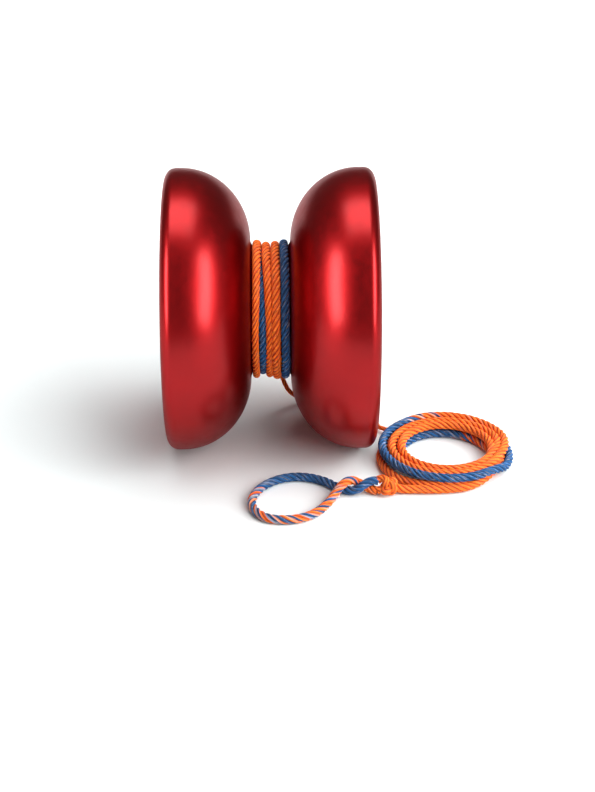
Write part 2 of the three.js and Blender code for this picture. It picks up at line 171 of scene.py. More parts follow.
class NodeMaterial:
    """A procedural material with its shader, and short ways to add nodes to it."""

    def __init__(self, name: str) -> None:
        """Starts a material that holds a Principled shader and its output."""
        self.material = bpy.data.materials.new(name)
        self.material.use_nodes = True
        self.tree = self.material.node_tree

    def feed(self, node: bpy.types.Node, inputs: dict[str | int, object]) -> None:
        """Gives a node's inputs their values, or links to other nodes' outputs."""
        for key, value in inputs.items():
            if isinstance(value, Socket):
                self.tree.links.new(value, node.inputs[key])
            else:
                node.inputs[key].default_value = value

    def node(self, kind: str, inputs: dict, output: str, **settings: str) -> Socket:
        """Adds a node.

        Args:
            kind: Its type, without the leading "ShaderNode".
            inputs: What its inputs are given, by name or number.
            output: The name of the output that is wanted.
            **settings: Its own properties.

        Returns:
            That output.
        """
        made = self.tree.nodes.new("ShaderNode" + kind)
        for key, value in settings.items():
            setattr(made, key, value)
        self.feed(made, inputs)
        return made.outputs[output]

    def place(self) -> Socket:
        """The point on the piece, in its object's own coordinates."""
        return self.node("TexCoord", {}, "Object")

    def noise(self, vector: Socket, scale: float, detail: float = 2.0) -> Socket:
        """A noise texture's value on a vector."""
        return self.node("TexNoise", {"Vector": vector, "Scale": scale, "Detail": detail}, "Fac")

    def spread(self, value: Socket, to: Row, start: Row = (0.3, 0.7)) -> Socket:
        """Maps a noise value's useful middle onto another range."""
        ends = {"From Min": start[0], "From Max": start[1], "To Min": to[0], "To Max": to[1]}
        return self.node("MapRange", {"Value": value, **ends}, "Result")

    def mix(self, first: object, second: Row, factor: Socket) -> Socket:
        """Mixes two colours with an alpha, of which the first may be a node's output."""
        return self.node("Mix", {"A": first, "B": second, "Factor": factor}, "Result", data_type="RGBA")

    def times(self, first: Socket, second: Socket) -> Socket:
        """Multiplies two values."""
        return self.node("Math", {0: first, 1: second}, "Value", operation="MULTIPLY")

    def bump(self, height: Socket, strength: float, distance: float, **below: Socket) -> Socket:
        """Adds a bump, on top of another one if its Normal is given."""
        inputs = {"Height": height, "Strength": strength, "Distance": distance, **below}
        return self.node("Bump", inputs, "Normal")

    def turned_vector(self, axle_height: float) -> Socket:
        """Returns (distance along the axle, distance from it, 0), for marks that a lathe leaves."""
        place = self.place()
        centred = self.node("VectorMath", {0: place, 1: (0, 0, axle_height)}, "Vector", operation="SUBTRACT")
        across = self.node("VectorMath", {0: centred, 1: (0, 1, 1)}, "Vector", operation="MULTIPLY")
        radius = self.node("VectorMath", {0: across}, "Value", operation="LENGTH")
        along = self.node("SeparateXYZ", {0: place}, "X")
        return self.node("CombineXYZ", {"X": along, "Y": radius}, "Vector")

    def dress(self, **inputs: object) -> bpy.types.Material:
        """Feeds the shader, with underscores for the spaces in its inputs' names. Returns the material."""
        shader = next(n for n in self.tree.nodes if n.type == "BSDF_PRINCIPLED")
        self.feed(shader, {key.replace("_", " "): value for key, value in inputs.items()})
        return self.material


@dataclass(frozen=True)
class TurnedMetal:
    """A metal that was turned on a lathe, then blasted, dyed or polished."""

    name: str
    colour: Row
    roughness: Row
    line_strength: float
    grain_strength: float = 0.0
    coat: float = 0.0
    coat_roughness: float = 0.2
    edge_tint: Row = (1.0, 1.0, 1.0)
    axle_height: float = 0.028

    def build(self) -> bpy.types.Material:
        """Makes the material: fine turned lines, a blasted grain, and roughness that varies a little."""
        made = NodeMaterial(self.name)
        place = made.place()
        dark, light = ((*[c * share for c in self.colour], 1) for share in (0.88, 1.1))
        lines = made.noise(made.turned_vector(self.axle_height), 9000.0, 1.0)
        normal = made.bump(lines, self.line_strength, 0.00002)
        if self.grain_strength:
            normal = made.bump(made.noise(place, 16000.0), self.grain_strength, 0.00001, Normal=normal)
        return made.dress(
            Metallic=1.0,
            Coat_Weight=self.coat,
            Coat_Roughness=self.coat_roughness,
            Specular_Tint=(*self.edge_tint, 1),
            Base_Color=made.mix(dark, light, made.noise(place, 260.0, 3.0)),
            Roughness=made.spread(made.noise(place, 700.0, 4.0), self.roughness),
            Normal=normal,
        )


@dataclass(frozen=True)
class Silicone:
    """The response pads' matt silicone."""

    name: str = "pad_silicone"
    colour: Row = (0.72, 0.69, 0.63)

    def build(self) -> bpy.types.Material:
        """Makes the material: a soft skin with a faint moulded grain."""
        made = NodeMaterial(self.name)
        place = made.place()
        dark = (*[c * 0.85 for c in self.colour], 1)
        return made.dress(
            Subsurface_Weight=0.25,
            Subsurface_Scale=0.0006,
            Base_Color=made.mix(dark, (*self.colour, 1), made.noise(place, 900.0, 3.0)),
            Roughness=made.spread(made.noise(place, 2500.0), (0.55, 0.75)),
            Normal=made.bump(made.noise(place, 9000.0), 0.3, 0.00003),
        )


@dataclass(frozen=True)
class DyedYarn:
    """Twisted polyester yarn. Its dye, with painted shade in the grooves between the plies, is held by
    the string's own colour attribute.
    """

    name: str = "string_yarn"
    stray_fibre: Row = (0.72, 0.66, 0.62, 1)

    def build(self) -> bpy.types.Material:
        """Makes the material: dyed fibres that run along each yarn, with light and dark ones among them."""
        made = NodeMaterial(self.name)
        # The dye attribute holds the yarn's colour with painted shade in the ply grooves.
        dye, many = (made.node("Attribute", {}, out, attribute_name="dye") for out in ("Color", "Alpha"))
        lay = made.node("Attribute", {}, "Vector", attribute_name="lay")
        drawn = {"Vector": lay, "Scale": (1.0, 1.0, 7.0)}
        stretched = made.node("Mapping", drawn, "Vector", vector_type="TEXTURE")
        fibres = made.noise(stretched, 9500.0, 3.0)
        patches = made.spread(made.noise(lay, 900.0), (0.9, 1.12))
        shade = made.times(made.spread(fibres, (0.62, 1.35)), patches)
        lit = made.node("HueSaturation", {"Color": dye, "Value": shade}, "Color")
        stray = made.times(made.spread(made.noise(stretched, 5200.0), (0.0, 0.4), (0.56, 0.72)), many)
        return made.dress(
            Specular_IOR_Level=0.22,
            Sheen_Weight=0.05,
            Sheen_Roughness=0.4,
            Sheen_Tint=(1.0, 0.85, 0.75, 1.0),
            Base_Color=made.mix(lit, self.stray_fibre, stray),
            Roughness=made.spread(fibres, (0.62, 0.88)),
            Normal=made.bump(fibres, 0.8, 0.00009),
        )


FINISHES = {
    Slot.ANODISED_RED: TurnedMetal(
        "red_anodising", (0.3, 0.0038, 0.0055), (0.35, 0.42), 0.1, 0.16, 0.3, 0.26, (0.5, 0.14, 0.14),
    ),
    Slot.AXLE_STEEL: TurnedMetal("black_oxide", (0.045, 0.045, 0.05), (0.32, 0.45), 0.15),
    Slot.BEARING_STEEL: TurnedMetal("ground_steel", (0.62, 0.62, 0.64), (0.12, 0.2), 0.06),
    Slot.SHIELD_STEEL: TurnedMetal("pressed_steel", (0.5, 0.5, 0.52), (0.26, 0.36), 0.1),
    Slot.CAGE_STEEL: TurnedMetal("cage_steel", (0.5, 0.45, 0.36), (0.28, 0.4), 0.1),
    Slot.PAD_SILICONE: Silicone(),
    Slot.STRING: DyedYarn(),
}


# --- Turned pieces -------------------------------------------------------------------------------


@dataclass
class Turning:
    """A piece turned on the axle's line: an outline, spun once round it.

    The outline's points are (distance from the middle plane, radius). One that doesn't end on the
    axle is closed on itself, which makes a ring.
    """

    name: str
    outline: Profile
    axle_height: float
    steps: int = 96
    bevel: float = 0.0
    smooth_angle: float = 30.0

    def draw_outline(self) -> None:
        """Draws the outline as a chain of edges, by extruding one corner from point to point."""
        first = self.outline[0]
        bpy.ops.mesh.primitive_plane_add(size=MM, location=(first[0], 0, self.axle_height + first[1]))
        set_mode("EDIT")
        select_mesh("SELECT")
        bpy.ops.mesh.merge(type="CENTER")
        for here, there in zip(self.outline, self.outline[1:]):
            step = (there[0] - here[0], 0, there[1] - here[1])
            bpy.ops.mesh.extrude_region_move(TRANSFORM_OT_translate={"value": step})

    def close_outline(self) -> None:
        """Joins the outline's two ends with an edge."""
        select_mesh("DESELECT")
        set_mode("OBJECT")
        mesh = bpy.context.object.data
        counts = np.bincount([v for edge in mesh.edges for v in edge.vertices], minlength=len(mesh.vertices))
        for vertex in mesh.vertices:
            vertex.select = bool(counts[vertex.index] == 1)
        set_mode("EDIT")
        bpy.ops.mesh.edge_face_add()

    def spin(self) -> None:
        """Closes a ring's outline, spins it once round the axle and cleans the seam and the poles."""
        if min(self.outline[0][1], self.outline[-1][1]) > 0:
            self.close_outline()
        select_mesh("SELECT")
        centre = (0, 0, self.axle_height)
        bpy.ops.mesh.spin(steps=self.steps, angle=2 * math.pi, center=centre, axis=(1, 0, 0))
        select_mesh("SELECT")
        bpy.ops.mesh.remove_doubles(threshold=1e-6)
        bpy.ops.mesh.normals_make_consistent(inside=False)
        set_mode("OBJECT")

    def build(self, material: bpy.types.Material) -> bpy.types.Object:
        """Makes the piece.

        Args:
            material: The piece's finish.

        Returns:
            The finished object, at the origin.
        """
        make_active(None)
        self.draw_outline()
        self.spin()
        piece = bpy.context.object
        piece.name = piece.data.name = self.name
        apply_place(piece)
        if self.bevel:
            edge = piece.modifiers.new("edges", "BEVEL")
            edge.width = self.bevel
            edge.segments = 2
            edge.limit_method = "ANGLE"
            edge.angle_limit = math.radians(35)
            apply_modifiers(piece)
        piece.data.materials.append(material)
        make_active(piece)
        bpy.ops.object.shade_smooth_by_angle(angle=math.radians(self.smooth_angle))
        return piece

    def fit_to(self, body: Body, slot: Slot, materials: Materials, replaced: str) -> None:
        """Makes the piece in its slot's finish and joins it to the frame."""
        settle(self.build(materials[slot]), body.value, slot, replaced)


@dataclass
class AxleFit:
    """Where things are on the axle's line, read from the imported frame.

    Two inner radii are stated here, because no piece's box shows them.
    """

    axle_height: float
    rim_face: float
    body_radius: float
    post_end: float
    gap_face: float
    pad_floor: float
    pad_outer: float
    half_bearing: float
    bearing_radius: float
    pad_inner: float = 7.45 * MM
    bore_radius: float = 3.175 * MM

    @classmethod
    def from_frame(cls) -> "AxleFit":
        """Reads the sizes that the new pieces must keep."""
        half_low, half_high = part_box("right_half")
        pad_low, pad_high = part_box("right_response_pad")
        race_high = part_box("bearing_outer_race")[1]
        axle_height = (half_low.z + half_high.z) / 2
        return cls(
            axle_height=axle_height,
            rim_face=half_high.x,
            body_radius=(half_high.z - half_low.z) / 2,
            post_end=half_low.x,
            gap_face=pad_low.x,
            pad_floor=pad_high.x,
            pad_outer=pad_high.z - axle_height,
            half_bearing=race_high.x,
            bearing_radius=race_high.z - axle_height,
        )


@dataclass
class BodyHalves:
    """The two halves of the body, turned from solid aluminium and anodised red."""

    fit: AxleFit
    throat_radius: float = 13.4 * MM
    throat_x: float = 3.95 * MM
    crest_width: float = 1.0 * MM
    corner_width: float = 2.2 * MM
    corner_height: float = 2.4 * MM
    rim_face_width: float = 1.3 * MM
    lip_chamfer: float = 0.4 * MM
    wall_taper: float = 0.5 * MM
    wall_depth: float = 8.7 * MM
    web: float = 3.0 * MM
    cup_floor_radius: float = 14.5 * MM
    hub_foot: float = 6.0 * MM
    hub_top: float = 4.4 * MM
    hub_chamfer: float = 0.5 * MM
    hub_cap: float = 2.3 * MM
    hole_radius: float = 2.01 * MM
    hole_depth: float = 10.5 * MM
    shoulder_radius: float = 3.9 * MM
    post_clearance: float = 0.02 * MM
    race_room: float = 0.6 * MM
    race_room_radial: float = 0.35 * MM
    pad_clearance: float = 0.05 * MM
    pad_edge: float = 0.3 * MM
    groove_depth: float = 0.12 * MM
    groove_width: float = 0.5 * MM
    groove_insets: Row = (1.2 * MM, 2.4 * MM)
    edge: float = 0.09 * MM

    def inside_outline(self) -> Profile:
        """The tapped hole, the bearing's post and the pad's recess."""
        fit = self.fit
        shoulder = fit.half_bearing + self.post_clearance
        post = fit.bore_radius - self.post_clearance
        room = fit.bearing_radius + self.race_room_radial
        recess = fit.half_bearing + self.race_room
        pad_floor = fit.pad_floor + self.pad_clearance
        pad_inner = fit.pad_inner - self.pad_clearance
        pad_outer = fit.pad_outer + self.pad_clearance
        return [
            (self.hole_depth, 0), (self.hole_depth, self.hole_radius), (fit.post_end, self.hole_radius),
            (fit.post_end, post), (shoulder, post), (shoulder, self.shoulder_radius),
            (recess, self.shoulder_radius), (recess, room), (fit.gap_face, room), (fit.gap_face, pad_inner),
            (pad_floor, pad_inner), (pad_floor, pad_outer), (fit.gap_face, pad_outer),
            (fit.gap_face, pad_outer + self.pad_edge),
        ]

    def flank_outline(self) -> Profile:
        """The leaning face, the curved flank, the crest and the rounded outer corner."""
        top = self.fit.body_radius
        crest_end = self.fit.rim_face - self.corner_width
        crest_start = crest_end - self.crest_width
        flank_size = (crest_start - self.throat_x, top - self.throat_radius)
        flank = arc((crest_start, self.throat_radius), flank_size, 180, 90, 48)
        corner_size = (self.corner_width, self.corner_height)
        return flank + arc((crest_end, top - self.corner_height), corner_size, 90, 0, 12)

    def cup_outline(self) -> Profile:
        """The rim face, the lip, the hollow cup with its two turned grooves, and the hub."""
        fit = self.fit
        lip = fit.body_radius - self.corner_height - self.rim_face_width
        cup = lip - self.lip_chamfer
        floor = fit.pad_floor + self.pad_clearance + self.web
        start = fit.rim_face - self.wall_depth
        bowl_size = (start - floor, cup - self.wall_taper - self.cup_floor_radius)
        hub_face = self.hole_depth + self.hub_cap
        groove = (self.groove_depth, self.groove_width / 2)
        return [
            (fit.rim_face, lip), (fit.rim_face - self.lip_chamfer, cup),
            *arc((start, self.cup_floor_radius), bowl_size, 90, 180, 20),
            *arc((floor, self.cup_floor_radius - self.groove_insets[0]), groove, 90, 270, 6),
            *arc((floor, self.hub_foot + self.groove_insets[1]), groove, 90, 270, 6),
            (floor, self.hub_foot), (hub_face - self.hub_chamfer, self.hub_top),
            (hub_face, self.hub_top - self.hub_chamfer), (hub_face, 0),
        ]

    def build(self, materials: Materials) -> None:
        """Turns the right half, and the left one as the same piece turned end for end."""
        outline = self.inside_outline() + self.flank_outline() + self.cup_outline()
        for side in Side:
            Turning(
                f"{side.word}_body_half", side.mirror(outline), self.fit.axle_height, 160, self.edge, 32.0,
            ).fit_to(Body.SPOOL, Slot.ANODISED_RED, materials, f"{side.word}_half")


@dataclass
class ResponsePads:
    """The two silicone rings that grip the string when the yo-yo is to return."""

    fit: AxleFit
    dish: float = 0.08 * MM
    flat: float = 0.12 * MM
    edge: float = 0.1 * MM

    def outline(self) -> Profile:
        """A flat ring whose face is slightly dished."""
        fit = self.fit
        middle = (fit.pad_inner + fit.pad_outer) / 2
        half = (fit.pad_outer - fit.pad_inner) / 2 - self.flat
        face = [(fit.gap_face + self.dish * (1 - (i / 3) ** 2), middle + half * i / 3) for i in range(-3, 4)]
        front = fit.gap_face + self.edge
        return [(fit.pad_floor, fit.pad_inner), (front, fit.pad_inner), *face,
                (front, fit.pad_outer), (fit.pad_floor, fit.pad_outer)]

    def build(self, materials: Materials) -> None:
        """Makes both pads."""
        for side in Side:
            ring = Turning(f"{side.word}_pad", side.mirror(self.outline()), self.fit.axle_height)
            ring.fit_to(Body.SPOOL, Slot.PAD_SILICONE, materials, f"{side.word}_response_pad")


@dataclass
class AxleStud:
    """The threaded stud, with a hexagon socket in each end."""

    fit: AxleFit
    radius: float = 1.95 * MM
    root_radius: float = 1.62 * MM
    pitch: float = 0.7 * MM
    socket_across_flats: float = 2.0 * MM
    socket_depth: float = 2.5 * MM

    def outline(self, end: float) -> Profile:
        """The stud's side, ridge by ridge, from one end to the other."""
        ridges = int((2 * end - 2 * self.pitch) / self.pitch)
        ridge = ((0, self.root_radius), (0.42, self.radius), (0.55, self.radius), (0.97, self.root_radius))
        points = [(-end, 0), (-end, self.root_radius)]
        points += [((i - ridges / 2 + x) * self.pitch, r) for i in range(ridges) for x, r in ridge]
        return points + [(end, self.root_radius), (end, 0)]

    def socket_cutter(self, end: float) -> bpy.types.Object:
        """A hexagonal prism with a pointed bottom, for one end of the stud."""
        make_active(None)
        bpy.ops.mesh.primitive_cylinder_add(
            vertices=6,
            radius=self.socket_across_flats / 2 / math.cos(math.pi / 6),
            depth=2 * self.socket_depth,
            location=(end, 0, self.fit.axle_height),
            rotation=(0, math.pi / 2, 0),
        )
        cutter = bpy.context.object
        set_mode("EDIT")
        select_mesh("DESELECT")
        set_mode("OBJECT")
        for face in cutter.data.polygons:
            x = (cutter.matrix_world @ face.center).x
            face.select = abs(x) < abs(end) - self.socket_depth / 2 and len(face.vertices) == 6
        set_mode("EDIT")
        bpy.ops.mesh.poke()
        set_mode("OBJECT")
        apply_place(cutter)
        return cutter

    def build(self, materials: Materials) -> None:
        """Turns the stud and cuts its two sockets."""
        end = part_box("axle")[1].x
        stud = Turning("axle_stud", self.outline(end), self.fit.axle_height, 48)
        piece = stud.build(materials[Slot.AXLE_STEEL])
        for sign in (-1, 1):
            cutter = self.socket_cutter(sign * end)
            cut = piece.modifiers.new("socket", "BOOLEAN")
            cut.object = cutter
            cut.operation = "DIFFERENCE"
            cut.solver = "EXACT"
            apply_modifiers(piece)
            bpy.data.objects.remove(cutter)
        settle(piece, Body.SPOOL.value, Slot.AXLE_STEEL, "axle")


@dataclass
class Bearing:
    """The ball bearing: two races, the balls, two shields and their snap rings."""

    fit: AxleFit
    ball_radius: float = 0.992 * MM
    groove_clearance: float = 0.038 * MM
    race_gap: float = 0.76 * MM
    shield_inset: float = 0.83 * MM
    shield_step: float = 0.24 * MM
    shield_thickness: float = 0.15 * MM
    shield_clearance: float = 0.05 * MM
    shield_rise: float = 0.04 * MM
    shield_overlap: float = 0.2 * MM
    ring_half_width: float = 0.3 * MM
    snap_depth: float = 0.2 * MM
    snap_width: float = 0.32 * MM
    snap_wire: tuple[float, float] = (0.25 * MM, 0.55 * MM)
    snap_play: float = 0.035 * MM
    snap_half_degrees: float = 17.0
    edge: float = 0.12 * MM

    @property
    def pitch_radius(self) -> float:
        """The circle that the balls' centres run on."""
        return (self.fit.bore_radius + self.fit.bearing_radius) / 2

    @property
    def snap_start(self) -> float:
        """Where the snap rings' grooves start, outside the shields."""
        seat = self.fit.half_bearing - self.shield_inset
        return seat + 2 * self.shield_clearance + self.shield_thickness

    def groove(self, sign: int) -> Profile:
        """The ball groove of a race, from right to left: 1 for the outer race's, -1 for the inner one's."""
        radius = self.ball_radius + self.groove_clearance
        reach = sign * math.degrees(math.asin(self.race_gap / radius))
        return arc((0, self.pitch_radius), (radius, radius), reach, sign * 180 - reach, 12)

    def inner_race(self) -> Profile:
        """The inner race's outline, with rounded outer edges."""
        half, bore = self.fit.half_bearing, self.fit.bore_radius
        outer = self.pitch_radius - self.race_gap
        return [
            (-half + self.edge, bore), (half - self.edge, bore), (half, bore + self.edge),
            (half, outer - self.edge), (half - self.edge, outer), *self.groove(-1),
            (-half + self.edge, outer), (-half, outer - self.edge), (-half, bore + self.edge),
        ]

    def outer_race(self) -> Profile:
        """The outer race's outline, with each side's shield step and snap-ring groove."""
        half, outer = self.fit.half_bearing, self.fit.bearing_radius
        bore = self.pitch_radius + self.race_gap
        seat, step = bore + self.shield_step, half - self.shield_inset
        snap, snap_end = self.snap_start, self.snap_start + self.snap_width
        side = [
            (half, outer - self.edge), (half, seat), (snap_end, seat), (snap_end, seat + self.snap_depth),
            (snap, seat + self.snap_depth), (snap, seat), (step, seat), (step, bore),
        ]
        other = Side.LEFT.mirror(side)[::-1]
        return [(-half + self.edge, outer), (half - self.edge, outer), *side, *self.groove(1), *other]

    def shield(self) -> Profile:
        """A pressed disc with a shallow raised ring."""
        near = self.fit.half_bearing - self.shield_inset + self.shield_clearance
        inner = self.pitch_radius - self.race_gap + self.shield_overlap
        outer = self.pitch_radius + self.race_gap + self.shield_step - self.shield_clearance
        middle = (inner + outer) / 2
        far = near + self.shield_thickness
        low, high = middle - self.ring_half_width, middle + self.ring_half_width
        return [
            (far, inner), (near, inner), (near, low), (near - self.shield_rise, middle), (near, high),
            (near, outer), (far, outer), (far, high), (far - self.shield_rise, middle), (far, low),
        ]

    def snap_ring(self) -> Profile:
        """The section of the wire ring that holds a shield in."""
        near = self.snap_start + self.snap_play
        outer = self.pitch_radius + self.race_gap + self.shield_step + self.snap_depth - self.shield_clearance
        far, inner = near + self.snap_wire[0], outer - self.snap_wire[1]
        return [(near, inner), (near, outer), (far, outer), (far, inner)]

    def build(self, materials: Materials) -> None:
        """Makes the races, shields, snap rings and balls, and dresses the cage."""
        height, steel = self.fit.axle_height, Slot.BEARING_STEEL
        inner = Turning("inner_race", self.inner_race(), height, smooth_angle=35)
        inner.fit_to(Body.SPOOL, steel, materials, "bearing_inner_race")
        outer = Turning("outer_race", self.outer_race(), height, smooth_angle=35)
        outer.fit_to(Body.STRING_SIDE, steel, materials, "bearing_outer_race")
        for side in Side:
            disc = Turning(f"{side.word}_shield_disc", side.mirror(self.shield()), height)
            disc.fit_to(Body.STRING_SIDE, Slot.SHIELD_STEEL, materials, f"{side.word}_shield")
            self.build_snap_ring(side, materials[steel])
        self.build_balls(materials[steel])
        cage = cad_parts["ball_cage"]
        cage.data.materials.clear()
        cage.data.materials.append(materials[Slot.CAGE_STEEL])

    def build_snap_ring(self, side: Side, steel: bpy.types.Material) -> None:
        """Turns a full ring and cuts its opening out."""
        height, angle = self.fit.axle_height, math.radians(self.snap_half_degrees)
        ring = Turning(f"{side.word}_snap_wire", side.mirror(self.snap_ring()), height).build(steel)
        make_active(ring)
        set_mode("EDIT")
        for sign in (-1, 1):
            select_mesh("SELECT")
            across = (0, math.cos(angle), sign * math.sin(angle))
            bpy.ops.mesh.bisect(plane_co=(0, 0, height), plane_no=across)
        select_mesh("DESELECT")
        set_mode("OBJECT")
        for face in ring.data.polygons:
            face.select = abs(math.atan2(face.center.z - height, face.center.y)) < angle
        set_mode("EDIT")
        bpy.ops.mesh.delete(type="FACE")
        select_mesh("SELECT")
        bpy.ops.mesh.fill_holes(sides=0)
        bpy.ops.mesh.normals_make_consistent(inside=False)
        set_mode("OBJECT")
        settle(ring, Body.STRING_SIDE.value, Slot.BEARING_STEEL, f"{side.word}_snap_ring")

    def build_balls(self, steel: bpy.types.Material) -> None:
        """Rounds one cube into a ball and sets a copy of it at each ball's place."""
        make_active(None)
        bpy.ops.mesh.primitive_cube_add(size=2 * self.ball_radius / math.sqrt(3))
        set_mode("EDIT")
        select_mesh("SELECT")
        bpy.ops.mesh.subdivide(number_cuts=11)
        bpy.ops.transform.tosphere(value=1.0)
        set_mode("OBJECT")
        pattern = bpy.context.object
        size = max(v.co.length for v in pattern.data.vertices)
        pattern.data.transform(Matrix.Scale(self.ball_radius / size, 4))
        pattern.data.materials.append(steel)
        pattern.data.shade_smooth()
        for number in range(1, 9):
            low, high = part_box(f"ball_{number}")
            mesh = pattern.data.copy()
            mesh.transform(Matrix.Translation((low + high) / 2))
            ball = bpy.data.objects.new(f"steel_ball_{number}", mesh)
            bpy.context.scene.collection.objects.link(ball)
            settle(ball, f"rolling_ball_{number}", Slot.BEARING_STEEL, f"ball_{number}")
        bpy.data.objects.remove(pattern)


# --- The string ----------------------------------------------------------------------------------

LOW = 0.92
HIGH = 2.7


def in_metres(rows: list[Row]) -> np.ndarray:
    """A route's rows with their places turned from millimetres into metres."""
    return np.array(rows) * (MM, MM, MM, 1, 1)


def flat_rows(points: tuple[Row, ...], thick: float = 1.0) -> list[Row]:
    """Orange rows through points, of which one without a height lies on the floor."""
    return [((*point, LOW)[:3]) + (0.0, thick) for point in points]


def run_along(rows: np.ndarray) -> np.ndarray:
    """The distance run at each row of a line, from its first one."""
    return np.concatenate([[0.0], np.cumsum(np.linalg.norm(np.diff(rows[:, :3], axis=0), axis=1))])


def resample(rows: np.ndarray, spacing: float) -> np.ndarray:
    """Returns rows evenly spaced along the line that the given rows make."""
    run = run_along(rows)
    wanted = np.linspace(0, run[-1], max(2, int(round(run[-1] / spacing)) + 1))
    return np.stack([np.interp(wanted, run, column) for column in rows.T], axis=1)


def smooth_route(points: np.ndarray, spacing: float) -> np.ndarray:
    """Runs a smooth curve through control points.

    Args:
        points: One row per point: x, y, z and any further values, which are carried along.
        spacing: The distance between the points returned.

    Returns:
        Rows like those given, evenly spaced along the curve.
    """

    def blend(first: np.ndarray, second: np.ndarray, low: float, high: float) -> np.ndarray:
        """Mixes two rows by how far each place lies from the low knot to the high one."""
        return ((high - at) * first + (at - low) * second) / (high - low)

    padded = np.vstack([2 * points[0] - points[1], points, 2 * points[-1] - points[-2]])
    rows = []
    for four in zip(padded, padded[1:], padded[2:], padded[3:]):
        gaps = np.linalg.norm(np.diff(four, axis=0)[:, :3], axis=1)
        knots = np.concatenate([[0.0], np.cumsum(np.maximum(gaps, 1e-9) ** 0.5)])
        count = max(2, int(gaps[1] / (spacing * 0.5)))
        at = np.linspace(knots[1], knots[2], count, endpoint=False)[:, None]
        once = [blend(four[i], four[i + 1], knots[i], knots[i + 1]) for i in range(3)]
        twice = [blend(once[i], once[i + 1], knots[i], knots[i + 2]) for i in range(2)]
        rows.append(blend(*twice, knots[1], knots[2]))
    return resample(np.vstack([*rows, points[-1:]]), spacing)


def mirrored(vector: np.ndarray, across: np.ndarray) -> np.ndarray:
    """A vector mirrored in the plane that a direction stands square on."""
    size = float(across @ across)
    return vector if size < 1e-18 else vector - (2 / size) * (across @ vector) * across


def carry_frame(line: np.ndarray, tangent: np.ndarray) -> np.ndarray:
    """Carries a side direction along a line without letting it turn about the line.

    Args:
        line: The line's points.
        tangent: The line's direction at each of them.

    Returns:
        A unit vector across the line at each point.
    """
    normals = np.zeros_like(tangent)
    seed = np.cross(tangent[0], (0.31, 0.87, 0.39))
    normals[0] = seed / np.linalg.norm(seed)
    for i, step in enumerate(np.diff(line, axis=0), 1):
        gap = tangent[i] - mirrored(tangent[i - 1], step)
        normal = mirrored(mirrored(normals[i - 1], step), gap)
        normals[i] = normal / np.linalg.norm(normal)
    return normals


